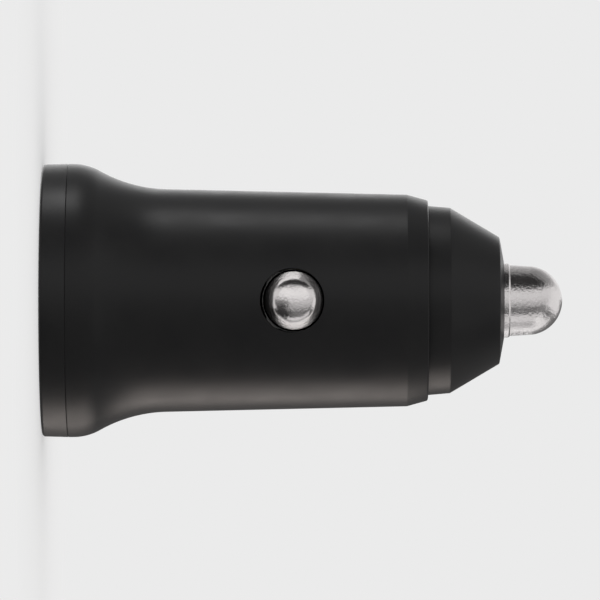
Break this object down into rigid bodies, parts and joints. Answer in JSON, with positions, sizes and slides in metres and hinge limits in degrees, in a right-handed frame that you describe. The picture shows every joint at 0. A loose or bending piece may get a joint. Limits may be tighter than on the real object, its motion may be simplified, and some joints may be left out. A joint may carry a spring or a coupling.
{
  "type": "car usb charger plug",
  "caption": "Black round plug for a car accessory socket: flared head with USB ports in its end, tapered barrel with sprung side contacts, and a sprung pin in a conical nose.",
  "frame": {"origin": "centre of the flat port face, on which the plug stands", "axes": "+Z along the plug axis from the port face to the pin, Y through the two side contacts"},
  "size_m": [0.0254, 0.0254, 0.0483],
  "materials": {
    "black_plastic": "fine satin moulded finish",
    "face_plastic": "fine satin moulded finish",
    "nickel": "bright nickel plate",
    "spring_steel": "drawn wire",
    "brass": "stamped sheet",
    "circuit_board": "solder mask over glass laminate",
    "port_steel": "nickel-plated sheet",
    "port_plastic": "moulded",
    "gold": "thin gold flash",
    "ferrite": "sintered",
    "copper": "enamelled wire",
    "capacitor_sleeve": "plain can",
    "chip_plastic": "moulded epoxy",
    "ceramic": "sintered, tinned ends",
    "fuse_body": "ceramic, tinned ends"
  },
  "bodies": {
    "plug_body": {"housing": "black_plastic", "port_face": "face_plastic", "nose_cap": "black_plastic", "pin_terminal": "brass", "main_board": "circuit_board", "usb_a_shell": "port_steel", "usb_a_tongue": "port_plastic", "usb_a_contacts": "gold", "usb_c_shell": "port_steel", "usb_c_tongue": "port_plastic", "usb_c_contacts": "gold", "inductor_core": "ferrite", "inductor_coil": "copper", "output_capacitor": "capacitor_sleeve", "input_capacitor": "capacitor_sleeve", "controller_chip": "chip_plastic", "protocol_chip": "chip_plastic", "rectifier_diode": "chip_plastic", "ceramic_capacitors": "ceramic", "chip_resistors": "chip_plastic", "input_fuse": "fuse_body", "pin_spring": "spring_steel"},
    "pin": {"centre_pin": "nickel"},
    "near_leaf": {"ground_contact_near": "nickel"},
    "far_leaf": {"ground_contact_far": "nickel"}
  },
  "joints": [
    {"name": "pin_press", "type": "slide", "parent": "plug_body", "child": "pin", "axis": [0, 0, -1], "range_m": [0, 0.0026], "stiffness_N_per_m": 1600, "springref_m": -0.0015, "deforming": ["pin_spring"]},
    {"name": "near_contact_press", "type": "hinge", "parent": "plug_body", "child": "near_leaf", "pos_m": [0, -0.00776, 0.0322], "axis": [1, 0, 0], "range_deg": [0, 8], "stiffness_Nm_per_rad": 0.2, "springref_deg": -3.44},
    {"name": "far_contact_press", "type": "hinge", "parent": "plug_body", "child": "far_leaf", "pos_m": [0, 0.00776, 0.0322], "axis": [-1, 0, 0], "range_deg": [0, 8], "stiffness_Nm_per_rad": 0.2, "springref_deg": -3.44}
  ]
}
